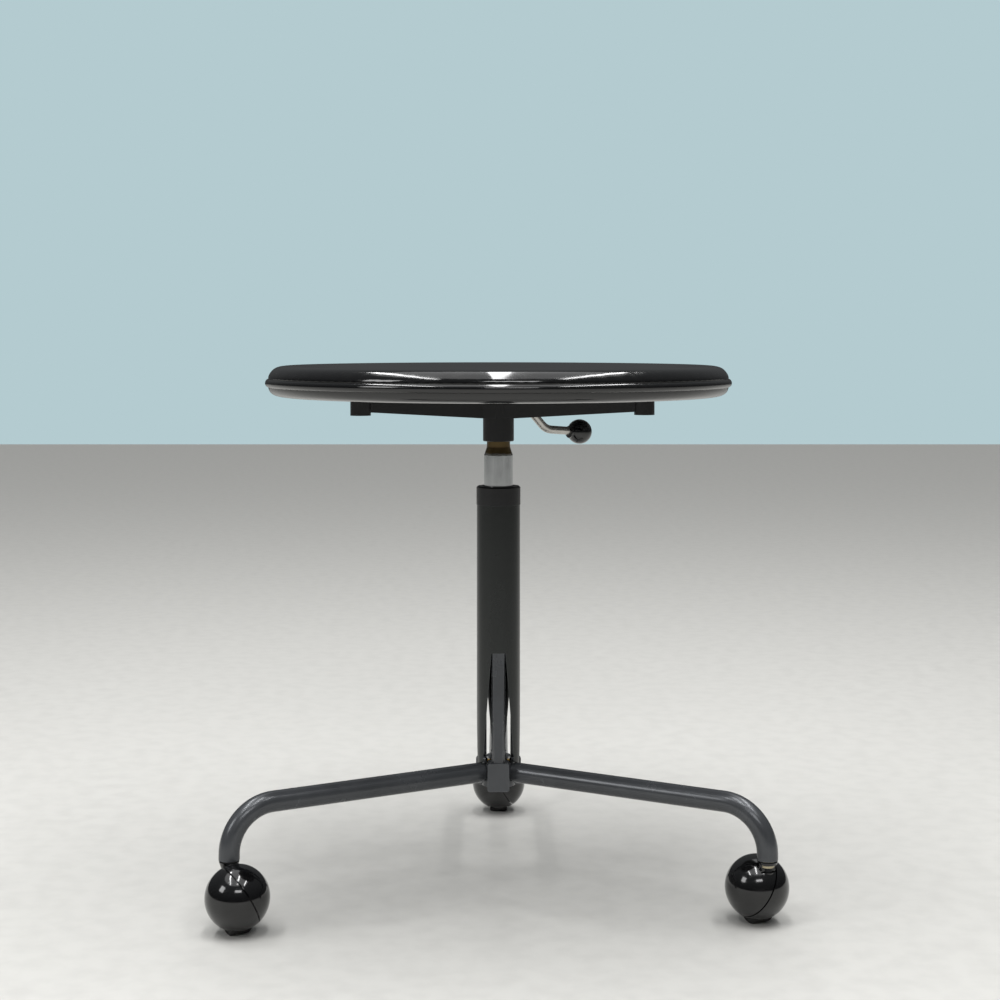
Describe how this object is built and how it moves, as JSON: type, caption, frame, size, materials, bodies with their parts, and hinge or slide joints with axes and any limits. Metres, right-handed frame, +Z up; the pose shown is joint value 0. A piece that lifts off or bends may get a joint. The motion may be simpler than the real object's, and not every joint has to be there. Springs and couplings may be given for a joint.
{
  "type": "adjustable swivel stool",
  "caption": "Round dished seat on a three-arm spider and gas lift with a hand lever; slotted tube column, bent tube legs and ball casters.",
  "frame": {"origin": "on the floor, on the column's axis", "axes": "+Z up along the column, front towards -Y, the rear leg along +Y"},
  "size_m": [0.5229, 0.514, 0.5005],
  "materials": {
    "seat_gloss": "gloss moulded black",
    "seat_bead": "gloss moulded black",
    "seat_pan": "gloss moulded black",
    "board_ply": "raw plywood",
    "zinc_steel": "zinc plated",
    "dark_steel": "black oxide",
    "spider_black": "satin black enamel",
    "lever_nickel": "nickel plated",
    "knob_black": "moulded ball knob",
    "chrome": "hard chrome",
    "rod_steel": "ground steel",
    "inner_plastic": "natural acetal",
    "graphite_paint": "semi-gloss graphite paint",
    "column_paint": "semi-gloss dark enamel",
    "collar_black": "satin moulded black",
    "bearing_brass": "brass cage",
    "bush_cream": "natural nylon",
    "caster_gloss": "gloss moulded black",
    "tyre_black": "moulded rubber"
  },
  "bodies": {
    "base": {"column_tube": "column_paint", "column_tongues": "graphite_paint", "column_collar": "collar_black", "guide_sleeve": "inner_plastic", "bearing_lower_washer": "zinc_steel", "bearing_cage": "bearing_brass", "base_hub": "graphite_paint", "leg_left": "graphite_paint", "leg_right": "graphite_paint", "leg_rear": "graphite_paint", "stem_bush_left": "bush_cream", "stem_bush_right": "bush_cream", "stem_bush_rear": "bush_cream"},
    "lift_rod": {"piston_rod": "rod_steel", "piston": "inner_plastic", "piston_nut": "zinc_steel", "rod_clip": "dark_steel", "bearing_upper_washer": "zinc_steel"},
    "seat": {"seat_top_shell": "seat_gloss", "seat_edge_bead": "seat_bead", "seat_bottom_shell": "seat_pan", "seat_board": "board_ply", "seat_inserts": "zinc_steel", "spider_frame": "spider_black", "spider_screws": "dark_steel", "lever_pivot_pin": "zinc_steel", "gas_cylinder": "chrome", "cylinder_gland": "inner_plastic"},
    "lever": {"lever_rod": "lever_nickel", "lever_knob": "knob_black"},
    "release_pin": {"valve_pin": "zinc_steel"},
    "caster_left": {"caster_stem_left": "dark_steel", "caster_grip_ring_left": "dark_steel", "caster_hood_left": "caster_gloss", "caster_cover_left": "caster_gloss", "caster_axle_left": "zinc_steel"},
    "roller_left": {"caster_roller_left": "inner_plastic", "caster_tyre_left": "tyre_black"},
    "caster_right": {"caster_stem_right": "dark_steel", "caster_grip_ring_right": "dark_steel", "caster_hood_right": "caster_gloss", "caster_cover_right": "caster_gloss", "caster_axle_right": "zinc_steel"},
    "roller_right": {"caster_roller_right": "inner_plastic", "caster_tyre_right": "tyre_black"},
    "caster_rear": {"caster_stem_rear": "dark_steel", "caster_grip_ring_rear": "dark_steel", "caster_hood_rear": "caster_gloss", "caster_cover_rear": "caster_gloss", "caster_axle_rear": "zinc_steel"},
    "roller_rear": {"caster_roller_rear": "inner_plastic", "caster_tyre_rear": "tyre_black"}
  },
  "joints": [
    {"name": "seat_swivel", "type": "hinge", "parent": "base", "child": "lift_rod", "pos_m": [0, 0, 0.122], "axis": [0, 0, 1], "continuous": true},
    {"name": "height_slide", "type": "slide", "parent": "lift_rod", "child": "seat", "axis": [0, 0, 1], "range_m": [-0.025, 0.1]},
    {"name": "lever_tilt", "type": "hinge", "parent": "seat", "child": "lever", "pos_m": [0.01588, 0.01043, 0.4612], "axis": [0.549, -0.8358, 0], "range_deg": [0, 9], "stiffness_Nm_per_rad": 1.5},
    {"name": "pin_travel", "type": "slide", "parent": "seat", "child": "release_pin", "axis": [0, 0, 1], "range_m": [-0.003, 0]},
    {"name": "caster_swivel_left", "type": "hinge", "parent": "base", "child": "caster_left", "pos_m": [-0.24075, -0.139, 0.0609], "axis": [0, 0, 1], "continuous": true},
    {"name": "wheel_roll_left", "type": "hinge", "parent": "caster_left", "child": "roller_left", "pos_m": [-0.23122, -0.15427, 0.014], "axis": [0.848, 0.5299, 0], "continuous": true},
    {"name": "caster_swivel_right", "type": "hinge", "parent": "base", "child": "caster_right", "pos_m": [0.24075, -0.139, 0.0609], "axis": [0, 0, 1], "continuous": true},
    {"name": "wheel_roll_right", "type": "hinge", "parent": "caster_right", "child": "roller_right", "pos_m": [0.23372, -0.12243, 0.014], "axis": [-0.9205, -0.3907, 0], "continuous": true},
    {"name": "caster_swivel_rear", "type": "hinge", "parent": "base", "child": "caster_rear", "pos_m": [0, 0.278, 0.0609], "axis": [0, 0, 1], "continuous": true},
    {"name": "wheel_roll_rear", "type": "hinge", "parent": "caster_rear", "child": "roller_rear", "pos_m": [0, 0.26, 0.014], "axis": [1, 0, 0], "continuous": true}
  ],
  "couplings": [
    {"joint": "pin_travel", "follows": "lever_tilt", "m_per_rad": -0.019}
  ]
}
